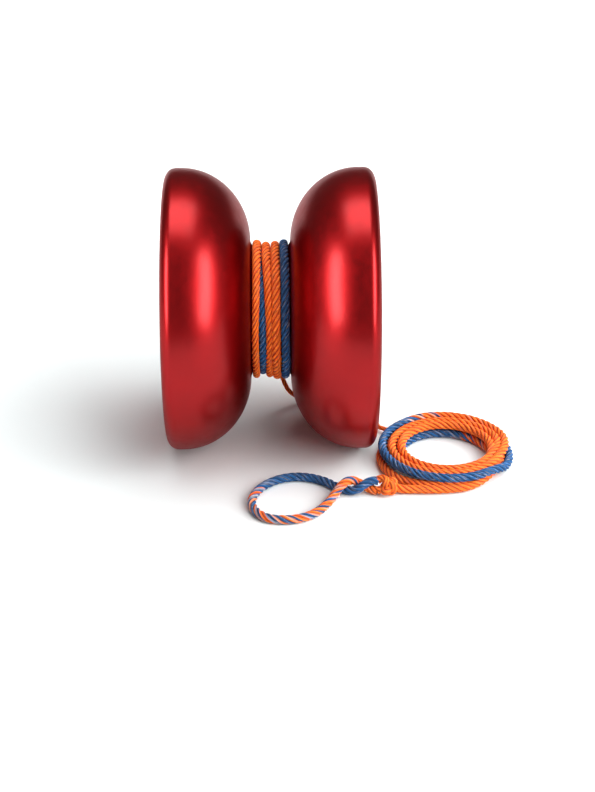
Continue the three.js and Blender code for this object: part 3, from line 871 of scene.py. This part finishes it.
@dataclass
class Twine:
    """The string itself: plies of two yarns each, twisted together, dyed orange and blue in turns.

    A route's rows are x, y, z, how blue the string is there, from 0 to 1, and how thick it is, as a
    share of its full diameter. Between the two dyes the yarns change colour one after another, so
    the string is striped. The plies' own sizes are shares of the string's radius, and a dye's
    painted groove shade says how fast its red, green and blue darken towards the grooves.
    """

    material: bpy.types.Material
    diameter: float = 1.8 * MM
    plies: int = 5
    lay_length: float = 6.9 * MM
    points_per_ply: int = 8
    fine_step: float = 0.34 * MM
    ply_centre: float = 0.61
    ply_radius: float = 0.39
    yarn_groove: float = 0.035
    orange: Row = (1.0, 0.235, 0.02)
    deep_orange: Row = (0.97, 0.15, 0.014)
    orange_groove_shade: Row = (0.85, 1.6, 1.9)
    blue: Row = (0.012, 0.09, 0.25)
    blue_groove_shade: Row = (1.4, 1.1, 0.95)
    pale: Row = (0.62, 0.56, 0.55)

    def section(self) -> tuple[np.ndarray, np.ndarray, np.ndarray]:
        """The string's section.

        Returns:
            The angle, the radius and the shade of each point on it. The shade is low in the grooves
            between the plies, where light hardly reaches.
        """
        count = self.plies * self.points_per_ply
        angles = (np.arange(count) + 0.5) * 2 * math.pi / count
        half_ply = math.pi / self.plies
        off = np.abs((angles + half_ply) % (2 * half_ply) - half_ply)
        rest = self.ply_radius**2 - (self.ply_centre * np.sin(off)) ** 2
        radius = self.ply_centre * np.cos(off) + np.sqrt(np.maximum(rest, 0.01))
        groove = np.exp(-((off / 0.13) ** 2))
        # Painted shade: darkens the string's colour towards the grooves between the plies.
        shade = 1 - 0.82 * (off / half_ply) ** 2.6 - 0.1 * groove
        return angles, (radius - self.yarn_groove * groove) * self.diameter / 2, shade

    def yarn_colours(
        self, blue: np.ndarray, run: np.ndarray, angles: np.ndarray, shade: np.ndarray
    ) -> np.ndarray:
        """The dye at every point of the string, darkened by painted shade in the grooves between the plies.

        Args:
            blue: How blue the string is at each step along it.
            run: The distance along it.
            angles: The section's angles.
            shade: The section's shade, which is painted into the colours.

        Returns:
            Colours, steps by section points by four. The last value says how many pale fibres show.
        """
        yarns = 2 * self.plies
        which = (angles / (2 * math.pi) * yarns).astype(int) % yarns
        turn_points = ((np.arange(yarns) * 3) % yarns + 0.5) / yarns
        wave = np.sin(run[:, None] / (2.3 * MM) + which * 1.9)
        level = 1.3 * blue[:, None] - 0.15 + 0.04 * wave
        share = np.clip((level - turn_points[which]) / 0.06 + 0.5, 0, 1)[..., None]
        tone = (0.5 + 0.5 * np.sin(run[:, None] / (7.0 * MM) + which * 2.4))[..., None]
        warm = np.array(self.orange) * tone + np.array(self.deep_orange) * (1 - tone)
        cool = np.array(self.blue) * (0.75 + 0.5 * tone)
        mixed = warm * (1 - share) + cool * share
        striped = np.clip(1.6 - 3.2 * np.abs(blue - 0.5), 0, 1)[:, None, None]
        light_yarn = (which % 4 == 1)[:, None] * (0.5 + 0.5 * wave[..., None])
        bare = striped * np.maximum(light_yarn * 0.75, 0.5 * (1 - np.abs(2 * share - 1)))
        # Painted shade: each colour channel darkens towards the grooves at its own rate.
        groove_shade_power = np.array(self.orange_groove_shade) * (1 - share) + np.array(self.blue_groove_shade) * share
        mixed = (mixed * (1 - bare) + np.array(self.pale) * bare) * shade[:, None] ** groove_shade_power
        return np.concatenate([mixed, 0.25 + 0.75 * share], axis=2)

    def sweep(self, name: str, rows: np.ndarray) -> bpy.types.Object:
        """Lays the string along a route.

        Args:
            name: The object's name.
            rows: The route, a row for each step.

        Returns:
            The string as a closed mesh.
        """
        line, run = rows[:, :3], run_along(rows)
        tangent = np.gradient(line, axis=0)
        tangent /= np.linalg.norm(tangent, axis=1)[:, None]
        normals = carry_frame(line, tangent)
        angles, radii, shade = self.section()
        turned = angles + (run * 2 * math.pi / self.lay_length)[:, None]
        reach = radii * rows[:, 4:]
        points = (
            line[:, None]
            + (reach * np.cos(turned))[..., None] * normals[:, None]
            + (reach * np.sin(turned))[..., None] * np.cross(tangent, normals)[:, None]
        )
        own = (radii * np.cos(angles), radii * np.sin(angles), run[:, None])
        lay = np.stack([np.broadcast_to(values, turned.shape) for values in own], axis=2)
        colours = self.yarn_colours(rows[:, 3], run, angles, shade)
        return self.skin(name, points, lay, colours, line[[0, -1]])

    def skin(
        self, name: str, points: np.ndarray, lay: np.ndarray, colours: np.ndarray, ends: np.ndarray
    ) -> bpy.types.Object:
        """Makes the mesh from its rings of points, with a cap on each end.

        Args:
            name: The object's name.
            points: The points, steps by section points by three.
            lay: Each point's place in the untwisted string, in the same order.
            colours: Each point's dye with its painted groove shade, in the same order.
            ends: The caps' middle points.

        Returns:
            The string as a closed mesh.
        """
        steps, around = points.shape[:2]
        ring = np.arange(around)
        after = (ring + 1) % around
        base = (np.arange(steps - 1) * around)[:, None]
        quads = np.stack([base + ring, base + after, base + around + after, base + around + ring], axis=2)
        first, top = steps * around, (steps - 1) * around
        caps = [(first, int(b), int(a)) for a, b in zip(ring, after)]
        caps += [(first + 1, int(top + a), int(top + b)) for a, b in zip(ring, after)]
        mesh = bpy.data.meshes.new(name)
        vertices = np.vstack([points.reshape(-1, 3), ends])
        mesh.from_pydata(vertices.tolist(), [], quads.reshape(-1, 4).tolist() + caps)
        ends_lay = lay[[0, -1], 0] * (0, 0, 1)
        # The dye attribute carries the painted groove shade as well as the dye.
        for attribute, kind, key, values, ends_values in (
            ("dye", "FLOAT_COLOR", "color", colours, colours[[0, -1], 0]),
            ("lay", "FLOAT_VECTOR", "vector", lay, ends_lay),
        ):
            whole = np.vstack([values.reshape(-1, values.shape[2]), ends_values])
            made = mesh.attributes.new(attribute, kind, "POINT")
            made.data.foreach_set(key, whole.astype(np.float32).ravel())
        mesh.materials.append(self.material)
        mesh.shade_smooth()
        piece = bpy.data.objects.new(name, mesh)
        bpy.context.scene.collection.objects.link(piece)
        return piece

    def lay_piece(self, name: str, rows: np.ndarray, *replaced: str) -> bpy.types.Object:
        """Lays a piece of string along a route, joins it to the frame and reports its length.

        Args:
            name: The object's name.
            rows: The route, a row for each step.
            *replaced: The CAD nodes that it stands for.

        Returns:
            The finished piece.
        """
        piece = self.sweep(name, rows)
        settle(piece, Body.STRING_SIDE.value, Slot.STRING, *replaced)
        LOG.info("%s is %.3f m long", name, run_along(rows)[-1])
        return piece


@dataclass(frozen=True)
class WindingTurn:
    """One turn of the winding, in millimetres.

    Each of its tables holds either one value for the whole turn, or one for each of TURN_KEYS, the
    angles from straight up towards the front.
    """

    radius: Row
    x: Row
    blue: float
    thick: Row = (1.0,)


TURN_KEYS = (10, 42, 80, 110, 150)


@dataclass
class StringWinding:
    """The string wound on the axle, from the bearing out to the turns that show.

    Its own sizes are in millimetres, and its angles are from straight up towards the front. The axle
    loop steps sideways once, from a share of its first turn and over a share of a turn.
    """

    fit: AxleFit
    twine: Twine
    leave_x: float = 1.6
    leave_thickness: float = 0.8
    leave_degrees: float = 205
    leave_rise: float = 1.1
    unevenness: float = 0.05
    turns: tuple[WindingTurn, ...] = (
        WindingTurn((9.2,), (0.95,), 0.0),
        WindingTurn((9.2,), (-0.95,), 0.0),
        WindingTurn((10.4,), (-1.4,), 1.0),
        WindingTurn((10.4,), (1.4,), 0.4),
        WindingTurn((10.55,), (0.0,), 0.0),
        WindingTurn((11.65,), (2.0,), 0.0),
        WindingTurn((11.55,), (0.2,), 0.0),
        WindingTurn((11.1, 11.8, 12.15, 12.3, 12.3), (-1.72, -1.68, -1.6, -1.6, -1.62), 1.0),
        WindingTurn(
            (12.85, 12.95, 13.1, 13.15, 13.2), (-2.68, -2.86, -3.0, -3.0, -2.96), 0.0,
            (1.0, 0.88, 0.8, 0.8, 0.85),
        ),
        WindingTurn(
            (12.5, 12.75, 12.85, 12.9, 12.95), (-0.9, -0.5, -0.26, -0.22, -0.28), 0.0,
            (1.0, 0.93, 0.86, 0.84, 0.88),
        ),
        WindingTurn((12.9, 13.0, 13.15, 13.2, 13.15), (2.7, 2.76, 2.86, 2.86, 2.84), 1.0, (1.02,)),
        WindingTurn((12.6, 12.95, 13.5, 13.45, 13.3), (0.9, 1.02, 0.95, 1.1, 1.15), 0.0),
    )
    shown_turns: int = 5
    loop_clearance: float = 0.05
    loop_steps: int = 24
    loop_pitch: float = 0.51
    loop_crossing: Row = (0.85, 0.3)

    def rows(self) -> np.ndarray:
        """The winding's route. Each turn starts behind, comes under to the front and goes over the top."""
        degrees = (225, 205, 180, 150, 130, 110, 95, 80, 60, 42, 26, 10, -15, -40, -65, -90, -112)
        last = self.turns[-1]
        points = []
        for number, turn in enumerate(self.turns):
            for angle in degrees:
                raised = self.leave_rise if angle == self.leave_degrees and turn is last else 0.0
                raised += self.unevenness * math.sin(0.093 * angle + 2.1 * number)
                aside = self.unevenness * math.sin(0.071 * angle + 3.7 * number)
                x, radius, thick = (self.at(table, angle) for table in (turn.x, turn.radius, turn.thick))
                points.append(self.place(x + aside, radius + raised, angle, turn.blue, thick))
        points[-2:] = [self.place(self.leave_x, last.radius[0], -90, last.blue, self.leave_thickness)]
        return in_metres(points)

    @staticmethod
    def at(table: Row, degrees: float) -> float:
        """A turn's value at an angle."""
        return table[0] if len(table) == 1 else float(np.interp(degrees, TURN_KEYS, table))

    def place(self, x: float, radius: float, degrees: float, blue: float = 0.0, thick: float = 1.0) -> Row:
        """A row at an angle from straight up towards the front."""
        angle = math.radians(degrees)
        height = self.fit.axle_height / MM
        return (x, -radius * math.sin(angle), height + radius * math.cos(angle), blue, thick)

    def build(self) -> np.ndarray:
        """Makes the winding, fine where it shows and coarser inside.

        Returns:
            The row where the string leaves it.
        """
        smooth = smooth_route(self.rows(), self.twine.fine_step)
        inside = sum(2 * math.pi * turn.radius[0] * MM for turn in self.turns[:-self.shown_turns])
        hidden = int(inside / self.twine.fine_step)
        kept = np.vstack([smooth[:hidden:3], smooth[hidden:]])
        self.twine.lay_piece("wound_string", kept, "string_winding")
        return smooth[-1]

    def build_axle_loop(self) -> None:
        """Makes the loop that grips the bearing: two turns side by side."""
        radius = (self.fit.bearing_radius + self.twine.diameter / 2) / MM + self.loop_clearance
        aside = self.twine.diameter / MM * self.loop_pitch
        first, width = self.loop_crossing
        points = []
        for i in range(2 * self.loop_steps + 1):
            turned = i / self.loop_steps
            x = aside * (2 * np.clip((turned - first) / width, 0, 1) - 1)
            points.append(self.place(x, radius, -360 * turned * 0.99))
        rows = smooth_route(in_metres(points), 2 * self.twine.fine_step)
        self.twine.lay_piece("axle_loop", rows, "string_axle_loop")


@dataclass(frozen=True)
class CoilStage:
    """Part of the coil: how far it turns, and the radius, height and dye that it ends at."""

    degrees: float
    radius: float
    height: float
    blue: float


@dataclass
class FreeString:
    """The string from the winding down to the floor, through its coil, to the knot.

    Its length is in metres. Its points and its other sizes are in millimetres.
    """

    twine: Twine
    tail: tuple[Row, ...] = (
        (1.6, 12.9, 20.3), (1.6, 12.75, 16.5), (1.6, 12.35, 12.5), (1.8, 11.8, 8.9), (2.5, 11.2, 5.4),
        (3.9, 10.8, 2.7), (6.0, 10.8, 1.3), (8.7, 11.2, 0.95), (11.8, 11.8), (15.0, 12.0), (18.1, 11.4),
        (20.3, 9.6), (21.3, 7.0), (21.5, 4.2), (21.55, 1.4), (22.2, -1.1), (24.1, -2.3),
    )
    coil_end: tuple[Row, ...] = (
        (31.5, -25.1), (28.9, -25.05), (26.9, -25.0), (25.2, -25.0, 1.0), (24.2, -24.85, 1.25),
        (23.4, -24.7, 1.6),
    )
    centre: Row = (35.0, -12.3)
    ovality: float = 0.93
    start: CoilStage = CoilStage(112.0, 12.7, LOW, 0.3)
    stages: tuple[CoilStage, ...] = tuple(CoilStage(*stage) for stage in (
        (40, 12.7, LOW, 1.0), (87, 12.7, LOW, 1.0), (38, 12.7, HIGH, 1.0), (170, 12.75, HIGH, 1.0),
        (35, 13.3, HIGH, 0.2), (75, 12.7, HIGH, 0.0), (55, 10.9, HIGH, 0.0), (305, 10.9, HIGH, 0.0),
        (55, 9.15, HIGH, 0.0), (335, 9.1, HIGH, 0.0), (50, 9.1, LOW, 0.3), (120, 9.1, LOW, 1.0),
        (110, 9.1, LOW, 0.9), (55, 9.1, LOW, 0.2), (60, 10.9, LOW, 0.0), (52, 12.3, 1.4, 0.0),
        (35, 13.3, LOW, 0.0), (14, 13.7, LOW, 0.0), (41, 13.2, LOW, 0.05), (30, 12.2, 1.3, 0.8),
        (48, 11.6, 1.6, 1.0), (50, 10.9, LOW, 0.1), (85, 10.9, LOW, 0.0), (57, 13.7, LOW, 0.0),
    ))
    tail_thickness: float = 0.55
    drop: float = 3.9
    drop_thickness: float = 0.68
    length: float = 0.445
    step_degrees: float = 12.0

    def coil_rows(self) -> list[Row]:
        """The coil's turns, worked out stage by stage, clockwise seen from above."""
        angle, before = self.start.degrees, self.start
        rows = []
        for stage in self.stages:
            steps = max(2, round(stage.degrees / self.step_degrees))
            for i in range(steps):
                share = i / steps
                ease = share * share * (3 - 2 * share)
                rows.append(self.coil_point(
                    angle - stage.degrees * share,
                    before.radius + (stage.radius - before.radius) * ease,
                    before.height + (stage.height - before.height) * ease,
                    before.blue + (stage.blue - before.blue) * share,
                ))
            angle -= stage.degrees
            before = stage
        return rows + [self.coil_point(angle, before.radius, before.height, before.blue)]

    def coil_point(self, degrees: float, radius: float, height: float, blue: float) -> Row:
        """A row of the coil, with the small unevenness of string laid by hand."""
        angle = math.radians(degrees)
        waver = radius + 0.13 * math.sin(1.37 * angle + 0.6) + 0.07 * math.sin(2.9 * angle)
        lift = 0.06 * math.sin(2.1 * angle) + 0.06 if height > LOW + 0.01 else 0.0
        x = self.centre[0] + waver * math.cos(angle)
        return (x, self.centre[1] + self.ovality * waver * math.sin(angle), height + lift, blue, 1.0)

    def build(self, leave: np.ndarray) -> tuple[bpy.types.Object, np.ndarray]:
        """Makes the free string.

        Args:
            leave: The winding's last row.

        Returns:
            The string and its route.
        """
        below = (leave[0], leave[1], leave[2] - self.drop * MM, 0.0, self.drop_thickness)
        laid = flat_rows(self.tail, self.tail_thickness) + self.coil_rows() + flat_rows(self.coil_end)
        rows = smooth_route(np.vstack([leave, below, in_metres(laid)]), self.twine.fine_step)
        replaced = ("string_tail", "string_coil", "string_coil_end")
        return self.twine.lay_piece("free_string", rows, *replaced), rows


@dataclass
class FingerLoop:
    """The knot, and the loop for the finger, whose two sides twist once about each other.

    The length is in metres. The points and the other sizes are in millimetres.
    """

    twine: Twine
    knot_centre: Row = (22.6, -25.35, 1.85)
    knot_width: float = 0.38
    knot_height: float = 0.55
    knot_depth: float = 0.6
    knot_tilt: float = 36.0
    knot_thickness: float = 0.8
    knot_cut: float = 0.42
    points: tuple[Row, ...] = (
        (20.5, -24.5, 2.6), (19.2, -24.85, 2.75), (17.9, -25.4, 2.3), (16.7, -25.75, 1.6),
        (15.4, -25.5, 1.05), (14.0, -24.9), (12.4, -23.75), (10.4, -21.95), (7.7, -20.6), (4.8, -20.15),
        (1.6, -20.9), (-1.2, -22.9), (-3.2, -25.8), (-4.0, -29.2), (-3.2, -32.3), (-1.2, -34.5),
        (1.6, -35.3), (4.8, -35.0), (7.7, -33.5), (10.0, -30.9), (11.7, -28.2, 1.3), (13.0, -26.3, 2.1),
        (14.2, -25.2, 2.75), (15.5, -24.35, 2.65), (16.8, -24.1, 2.0), (18.2, -24.35, 1.25),
        (19.4, -24.9, 0.95), (20.5, -25.5, 0.95),
    )
    dyes: tuple[Row, ...] = (
        (0, 1.0), (9, 1.0), (11, 0.85), (13, 0.62), (15, 0.52), (18, 0.42), (21, 0.28), (24, 0.15), (27, 0.1),
    )
    length: float = 0.066

    def route(self, rows: list[Row]) -> np.ndarray:
        """A smooth route through rows in millimetres."""
        return smooth_route(in_metres(rows), self.twine.fine_step)

    def loop_rows(self) -> list[Row]:
        """The loop's rows, with the dye that each of them has."""
        places, blues = zip(*self.dyes)
        flat = flat_rows(self.points)
        return [(*row[:3], float(np.interp(i, places, blues)), 1.0) for i, row in enumerate(flat)]

    def knot_point(self, turn: float) -> Row:
        """A row of the overhand knot, which is a trefoil that leans back, by how far round it in radians."""
        across = self.knot_width * (math.sin(turn) + 2 * math.sin(2 * turn))
        up = -self.knot_height * (math.cos(turn) - 2 * math.cos(2 * turn))
        out = self.knot_depth * math.sin(3 * turn)
        tilt = math.radians(self.knot_tilt)
        cx, cy, cz = self.knot_centre
        y = cy + up * math.sin(tilt) - out * math.cos(tilt)
        z = cz + up * math.cos(tilt) + out * math.sin(tilt)
        return (cx + across, y, z, 0.0, self.knot_thickness)

    def knot_rows(self, coming: np.ndarray) -> list[Row]:
        """The knot's rows: in from the coil, through the knot, and out to the loop."""
        cx, cy, _ = self.knot_centre
        return [
            (*(coming[:3] / MM), 0.0, 1.0),
            (cx + 1.3, cy + 0.95, 2.3, 0.0, 0.85),
            *map(self.knot_point, np.linspace(math.pi + self.knot_cut, 3 * math.pi - self.knot_cut, 40)),
            (cx - 1.45, cy + 1.0, 3.05, 0.0, 0.9),
            (*self.points[0], 0.0, 1.0),
        ]

    def core_rows(self) -> list[Row]:
        """The rows of the loop's other end, which runs into the knot's middle."""
        cx, cy, cz = self.knot_centre
        return [
            (*self.points[-1], 0.0, 1.0),
            (cx - 1.0, cy - 0.05, cz - 0.6, 0.0, 0.8),
            (cx + 1.0, cy + 0.1, cz - 0.1, 0.0, 0.7),
        ]

    def build(
        self, free: bpy.types.Object, free_rows: np.ndarray, free_length: float, leave: np.ndarray
    ) -> None:
        """Args:
            free: The free string. It is not used.
            free_rows: The free string's route.
            free_length: Its length in metres. It is not used.
            leave: The winding's last row, where the free string starts. It is not used.
        """
        knot = self.twine.sweep("knot", self.route(self.knot_rows(free_rows[-1])))
        core = self.twine.sweep("knot_core", self.route(self.core_rows()))
        make_active(knot)
        core.select_set(True)
        bpy.ops.object.join()
        settle(knot, Body.STRING_SIDE.value, Slot.STRING, "slip_knot")
        rows = self.route(self.loop_rows())
        loop = self.twine.lay_piece("loop_string", rows, "finger_loop")


# --- The floor, the lights and the camera --------------------------------------------------------


def add_light(name: str, kind: str, strength: float, way: Vector, roll: float = 0.0) -> bpy.types.Object:
    """Adds a light that shines from a direction.

    Args:
        name: The light's name.
        kind: AREA or SUN.
        strength: Its power or its strength, as its kind has it.
        way: The direction that it shines from.
        roll: How far it is turned about that direction, in degrees.

    Returns:
        The light.
    """
    light = bpy.data.objects.new(name, bpy.data.lights.new(name, kind))
    light.data.energy = strength
    facing = way.to_track_quat("Z", "Y") @ Quaternion((0, 0, 1), math.radians(roll))
    light.rotation_euler = facing.to_euler()
    bpy.context.scene.collection.objects.link(light)
    return light


@dataclass
class Softbox:
    """A large soft light that only reflections show, at a direction seen from the yo-yo's middle."""

    name: str
    azimuth: float
    elevation: float
    size: Row
    radiance: float
    roll: float = 0.0
    distance: float = 0.8

    def build(self, target: Vector) -> None:
        """Adds the light, with power that gives its face the stated radiance."""
        azimuth, elevation = math.radians(self.azimuth), math.radians(self.elevation)
        level = math.cos(elevation)
        way = Vector((math.sin(azimuth) * level, -math.cos(azimuth) * level, math.sin(elevation)))
        power = self.radiance * math.pi * self.size[0] * self.size[1]
        light = add_light(self.name, "AREA", power, way, self.roll)
        light.data.shape = "RECTANGLE"
        light.data.size, light.data.size_y = self.size
        light.location = target + way * self.distance
        light.visible_diffuse = False


@dataclass
class BroadLight:
    """A distant soft light that falls on the floor and the string, and that the metal doesn't mirror."""

    name: str
    way: Row
    strength: float
    spread: float = 50.0

    def build(self) -> None:
        """Adds the light."""
        light = add_light(self.name, "SUN", self.strength, Vector(self.way))
        light.data.angle = math.radians(self.spread)
        light.visible_glossy = False


@dataclass
class Studio:
    """The floor, the lights and the camera."""

    target: Vector
    camera_distance: float = 0.360
    camera_elevation: float = 27.0
    aim_right: float = 0.85
    aim_down: float = 2.79
    lens: float = 81.8
    floor_dark: Row = (0.81, 0.86, 0.86, 1)
    floor_light: Row = (0.83, 0.88, 0.88, 1)
    sky: float = 0.17

    def build_camera(self) -> None:
        """Adds the camera, in front and above, aimed a little right of the yo-yo and below it."""
        data = bpy.data.cameras.new("camera")
        data.lens = self.lens
        data.sensor_width = 36
        data.clip_start = 0.01
        data.clip_end = 20
        camera = bpy.data.objects.new("camera", data)
        tilt = math.radians(self.camera_elevation)
        back = Vector((0, -math.cos(tilt), math.sin(tilt)))
        camera.location = self.target + back * self.camera_distance
        camera.rotation_euler = (
            math.radians(90 - self.camera_elevation - self.aim_down),
            0,
            math.radians(-self.aim_right / math.cos(tilt)),
        )
        bpy.context.scene.collection.objects.link(camera)
        bpy.context.scene.camera = camera

    def build_floor(self) -> None:
        """Adds the pale floor."""
        bpy.ops.mesh.primitive_plane_add(size=12)
        floor = bpy.context.object
        floor.name = "floor"
        made = NodeMaterial("pale_floor")
        shade = made.mix(self.floor_dark, self.floor_light, made.noise(made.place(), 3.0))
        floor.data.materials.append(made.dress(Roughness=0.9, Specular_IOR_Level=0.1, Base_Color=shade))

    def build_lights(self) -> None:
        """Adds the two side strips, the overhead box, the five broad lights and a dim even sky."""
        for side in (1, -1):
            name = "right_strip" if side > 0 else "left_strip"
            Softbox(name, side * 57, 31, (0.27, 0.74), 13.0, roll=-34 * side).build(self.target)
        Softbox("overhead", 180, 74, (0.56, 0.48), 5.0).build(self.target)
        BroadLight("low_right", (1.3, 0.0, 0.6), 2.8).build()
        BroadLight("front_right", (0.9, -0.7, 0.7), 2.75).build()
        BroadLight("back_right", (0.5, 0.7, 0.9), 1.8).build()
        BroadLight("high_right", (0.8, -0.2, 1.0), 0.6).build()
        BroadLight("top", (0.0, 0.0, 1.0), 0.9).build()
        world = bpy.data.worlds.new("sky")
        bpy.context.scene.world = world
        world.use_nodes = True
        background = next(n for n in world.node_tree.nodes if n.type == "BACKGROUND")
        background.inputs["Color"].default_value = (1, 1, 1, 1)
        background.inputs["Strength"].default_value = self.sky
        bpy.context.scene.view_settings.view_transform = "Standard"


def main() -> None:
    """Builds everything in order: the camera, the string, the turned pieces, the floor and the lights."""
    logging.basicConfig(level=logging.INFO, format="%(name)s: %(message)s")
    fit = AxleFit.from_frame()
    studio = Studio(target=Vector((0, 0, fit.axle_height)))
    studio.build_camera()
    materials = {slot: finish.build() for slot, finish in FINISHES.items()}
    twine = Twine(materials[Slot.STRING])
    winding = StringWinding(fit, twine)
    leave = winding.build()
    free_string = FreeString(twine)
    free, free_rows = free_string.build(leave)
    FingerLoop(twine).build(free, free_rows, free_string.length, leave)
    winding.build_axle_loop()
    for turned in (BodyHalves(fit), ResponsePads(fit), AxleStud(fit), Bearing(fit)):
        turned.build(materials)
    studio.build_floor()
    studio.build_lights()


if __name__ == "__main__":
    main()
